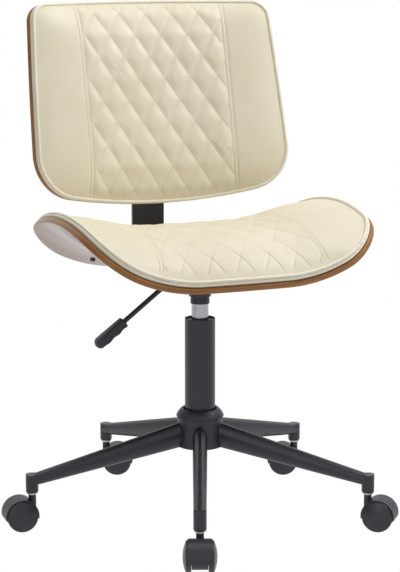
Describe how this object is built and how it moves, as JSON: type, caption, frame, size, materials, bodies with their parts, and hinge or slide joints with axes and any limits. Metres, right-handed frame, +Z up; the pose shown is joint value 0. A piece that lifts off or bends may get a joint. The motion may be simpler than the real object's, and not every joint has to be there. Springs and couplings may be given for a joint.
{
  "type": "office chair",
  "caption": "Armless swivel desk chair with bentwood walnut shells, cream diamond-quilted pads, gas-lift column and black five-leg base on twin-wheel casters.",
  "frame": {"origin": "floor under the swivel axis", "axes": "+Z up; -Y is the way the sitter faces; +X is the sitter's left hand"},
  "size_m": [0.5993, 0.6146, 0.8357],
  "materials": {
    "black_steel": "satin black powder coat",
    "black_plastic": "fine moulded texture",
    "black_nylon": "smooth nylon with a slight sheen",
    "pale_plastic": "natural acetal",
    "bright_steel": "bright chromed",
    "zinc_steel": "zinc plated",
    "machined_aluminium": "turned",
    "black_rubber": "moulded",
    "walnut_plywood": "lacquered walnut veneer on bent plywood",
    "cream_leatherette": "grained faux leather, semi-matt"
  },
  "bodies": {
    "base": {"base_hub": "black_steel", "hub_cover": "black_plastic", "column": "black_steel", "column_bush": "pale_plastic", "thrust_race_lower": "bright_steel", "thrust_balls": "bright_steel", "caster_sleeves": "zinc_steel", "leg_1": "black_steel", "leg_2": "black_steel", "leg_3": "black_steel", "leg_4": "black_steel", "leg_5": "black_steel"},
    "piston": {"thrust_race_upper": "bright_steel", "retaining_clip": "zinc_steel", "bumper": "black_rubber", "piston_rod": "bright_steel", "piston_head": "machined_aluminium", "piston_seal": "black_rubber"},
    "seat": {"gas_cylinder": "bright_steel", "rod_gland": "machined_aluminium", "seat_plate": "black_steel", "socket_tube": "black_steel", "lever_bracket": "black_steel", "lever_pin": "zinc_steel", "seat_shell": "walnut_plywood", "seat_cushion": "cream_leatherette", "back_shell": "walnut_plywood", "back_cushion": "cream_leatherette", "back_bracket": "black_steel", "shell_bolts": "black_steel", "tee_nuts": "zinc_steel", "pad_screws": "black_steel"},
    "lever": {"lever_rod": "black_steel", "lever_handle": "black_plastic"},
    "valve": {"valve_pin": "zinc_steel"},
    "caster_1": {"caster_stem_1": "zinc_steel", "caster_hood_1": "black_plastic", "caster_axle_1": "zinc_steel"},
    "wheel_left_1": {"wheel_left_1": "black_nylon"},
    "wheel_right_1": {"wheel_right_1": "black_nylon"},
    "caster_2": {"caster_stem_2": "zinc_steel", "caster_hood_2": "black_plastic", "caster_axle_2": "zinc_steel"},
    "wheel_left_2": {"wheel_left_2": "black_nylon"},
    "wheel_right_2": {"wheel_right_2": "black_nylon"},
    "caster_3": {"caster_stem_3": "zinc_steel", "caster_hood_3": "black_plastic", "caster_axle_3": "zinc_steel"},
    "wheel_left_3": {"wheel_left_3": "black_nylon"},
    "wheel_right_3": {"wheel_right_3": "black_nylon"},
    "caster_4": {"caster_stem_4": "zinc_steel", "caster_hood_4": "black_plastic", "caster_axle_4": "zinc_steel"},
    "wheel_left_4": {"wheel_left_4": "black_nylon"},
    "wheel_right_4": {"wheel_right_4": "black_nylon"},
    "caster_5": {"caster_stem_5": "zinc_steel", "caster_hood_5": "black_plastic", "caster_axle_5": "zinc_steel"},
    "wheel_left_5": {"wheel_left_5": "black_nylon"},
    "wheel_right_5": {"wheel_right_5": "black_nylon"}
  },
  "joints": [
    {"name": "seat_swivel", "type": "hinge", "parent": "base", "child": "piston", "pos_m": [0, 0, 0.12], "axis": [0, 0, 1], "continuous": true},
    {"name": "seat_lift", "type": "slide", "parent": "piston", "child": "seat", "axis": [0, 0, 1], "range_m": [-0.02, 0.08]},
    {"name": "lever_pull", "type": "hinge", "parent": "seat", "child": "lever", "pos_m": [-0.024, 0, 0.4166], "axis": [0, 1, 0], "range_deg": [0, 8.5], "stiffness_Nm_per_rad": 1.2, "springref_deg": -5.73},
    {"name": "valve_press", "type": "slide", "parent": "seat", "child": "valve", "axis": [0, 0, -1], "range_m": [0, 0.0036]},
    {"name": "caster_swivel_1", "type": "hinge", "parent": "base", "child": "caster_1", "pos_m": [-0.10945, -0.26423, 0.07], "axis": [0, 0, 1], "continuous": true},
    {"name": "wheel_spin_left_1", "type": "hinge", "parent": "caster_1", "child": "wheel_left_1", "pos_m": [-0.1171, -0.28271, 0.025], "axis": [0.9239, -0.3827, 0], "continuous": true},
    {"name": "wheel_spin_right_1", "type": "hinge", "parent": "caster_1", "child": "wheel_right_1", "pos_m": [-0.1171, -0.28271, 0.025], "axis": [0.9239, -0.3827, 0], "continuous": true},
    {"name": "caster_swivel_2", "type": "hinge", "parent": "base", "child": "caster_2", "pos_m": [0.21748, -0.18574, 0.07], "axis": [0, 0, 1], "continuous": true},
    {"name": "wheel_spin_left_2", "type": "hinge", "parent": "caster_2", "child": "wheel_left_2", "pos_m": [0.23268, -0.19873, 0.025], "axis": [0.6494, 0.7604, 0], "continuous": true},
    {"name": "wheel_spin_right_2", "type": "hinge", "parent": "caster_2", "child": "wheel_right_2", "pos_m": [0.23268, -0.19873, 0.025], "axis": [0.6494, 0.7604, 0], "continuous": true},
    {"name": "caster_swivel_3", "type": "hinge", "parent": "base", "child": "caster_3", "pos_m": [0.24385, 0.14944, 0.07], "axis": [0, 0, 1], "continuous": true},
    {"name": "wheel_spin_left_3", "type": "hinge", "parent": "caster_3", "child": "wheel_left_3", "pos_m": [0.22538, 0.15709, 0.025], "axis": [-0.3827, -0.9239, 0], "continuous": true},
    {"name": "wheel_spin_right_3", "type": "hinge", "parent": "caster_3", "child": "wheel_right_3", "pos_m": [0.22538, 0.15709, 0.025], "axis": [-0.3827, -0.9239, 0], "continuous": true},
    {"name": "caster_swivel_4", "type": "hinge", "parent": "base", "child": "caster_4", "pos_m": [-0.06677, 0.2781, 0.07], "axis": [0, 0, 1], "continuous": true},
    {"name": "wheel_spin_left_4", "type": "hinge", "parent": "caster_4", "child": "wheel_left_4", "pos_m": [-0.04829, 0.27044, 0.025], "axis": [0.3827, 0.9239, 0], "continuous": true},
    {"name": "wheel_spin_right_4", "type": "hinge", "parent": "caster_4", "child": "wheel_right_4", "pos_m": [-0.04829, 0.27044, 0.025], "axis": [0.3827, 0.9239, 0], "continuous": true},
    {"name": "caster_swivel_5", "type": "hinge", "parent": "base", "child": "caster_5", "pos_m": [-0.28512, 0.02244, 0.07], "axis": [0, 0, 1], "continuous": true},
    {"name": "wheel_spin_left_5", "type": "hinge", "parent": "caster_5", "child": "wheel_left_5", "pos_m": [-0.30506, 0.02401, 0.025], "axis": [-0.0785, -0.9969, 0], "continuous": true},
    {"name": "wheel_spin_right_5", "type": "hinge", "parent": "caster_5", "child": "wheel_right_5", "pos_m": [-0.30506, 0.02401, 0.025], "axis": [-0.0785, -0.9969, 0], "continuous": true}
  ],
  "couplings": [
    {"joint": "valve_press", "follows": "lever_pull", "m_per_rad": 0.024}
  ]
}
